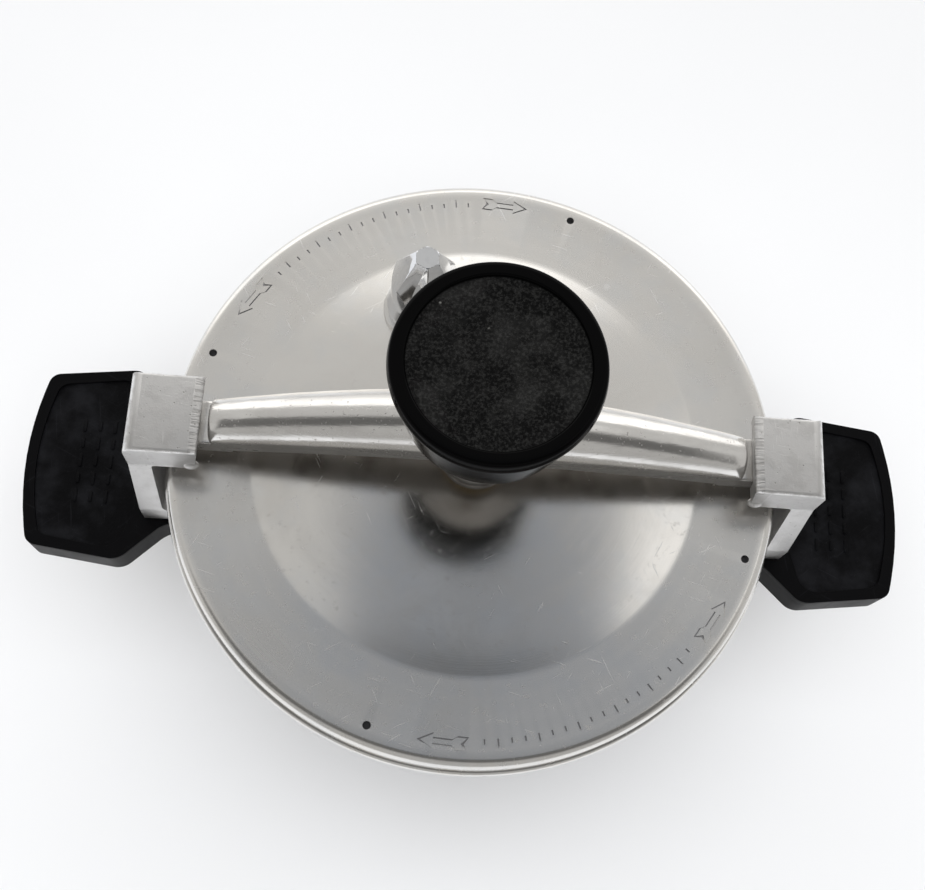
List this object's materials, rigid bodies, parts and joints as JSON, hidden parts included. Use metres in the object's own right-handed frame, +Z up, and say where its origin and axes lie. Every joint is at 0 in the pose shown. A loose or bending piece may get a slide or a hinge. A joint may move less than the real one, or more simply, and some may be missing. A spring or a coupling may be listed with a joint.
{
  "type": "stovetop pressure cooker",
  "caption": "Round aluminium pressure cooker: lid held by an arched clamp bar under two lugs, black screw knob, weighted valve, black side handles.",
  "frame": {"origin": "centre of the pot's flat base, on its underside", "axes": "+Z up along the pot's axis, +X along the clamp bar from handle to handle, +Y towards the side where the valve sits"},
  "size_m": [0.354, 0.2334, 0.2427],
  "materials": {
    "pot_aluminium": "spun aluminium, polished and lightly scratched",
    "lid_aluminium": "polished aluminium with cloudy stains and fine scratches",
    "cast_aluminium": "matt cast aluminium with file marks",
    "bar_aluminium": "brushed and polished aluminium",
    "phenolic": "black phenolic, satin sides, fine grain panel",
    "knob_phenolic": "black phenolic, glossy rim, dusty sunk field",
    "rubber": "soft black rubber",
    "chrome": "bright chrome plate",
    "steel": "turned steel",
    "brass": "turned brass"
  },
  "bodies": {
    "vessel": {"pot_body": "pot_aluminium", "lug_left": "cast_aluminium", "lug_right": "cast_aluminium", "lug_rivets_left": "cast_aluminium", "lug_rivets_right": "cast_aluminium", "handle_left": "phenolic", "handle_right": "phenolic", "handle_screws_left": "steel", "handle_screws_right": "steel", "handle_washers_left": "steel", "handle_washers_right": "steel"},
    "lid_group": {"lid": "lid_aluminium", "gasket": "rubber", "vent_pipe": "steel", "pipe_washer": "rubber", "pipe_nut": "brass"},
    "weight": {"valve_weight": "chrome", "valve_needle": "steel", "weight_clip": "steel"},
    "bar": {"clamp_bar": "bar_aluminium", "bar_bush": "brass"},
    "foot": {"pressure_foot": "steel", "foot_clip": "steel"},
    "screw": {"spindle": "steel", "knob": "knob_phenolic", "knob_insert": "brass", "knob_pin": "steel"}
  },
  "joints": [
    {"name": "bar_slide", "type": "slide", "parent": "vessel", "child": "bar", "axis": [0, 1, 0], "range_m": [0, 0.028]},
    {"name": "foot_travel", "type": "slide", "parent": "bar", "child": "foot", "axis": [0, 0, 1], "range_m": [0, 0.009]},
    {"name": "knob_spin", "type": "hinge", "parent": "foot", "child": "screw", "pos_m": [0, 0, 0.2], "axis": [0, 0, 1], "range_deg": [0, 1080]},
    {"name": "lid_lift", "type": "slide", "parent": "vessel", "child": "lid_group", "axis": [0, 0, 1], "range_m": [0, 0.005]},
    {"name": "weight_lift", "type": "slide", "parent": "lid_group", "child": "weight", "axis": [0, 0, 1], "range_m": [0, 0.004]}
  ],
  "couplings": [
    {"joint": "knob_spin", "follows": "foot_travel", "rad_per_m": 2094.4},
    {"joint": "lid_lift", "follows": "foot_travel", "ratio": 0.5555}
  ]
}
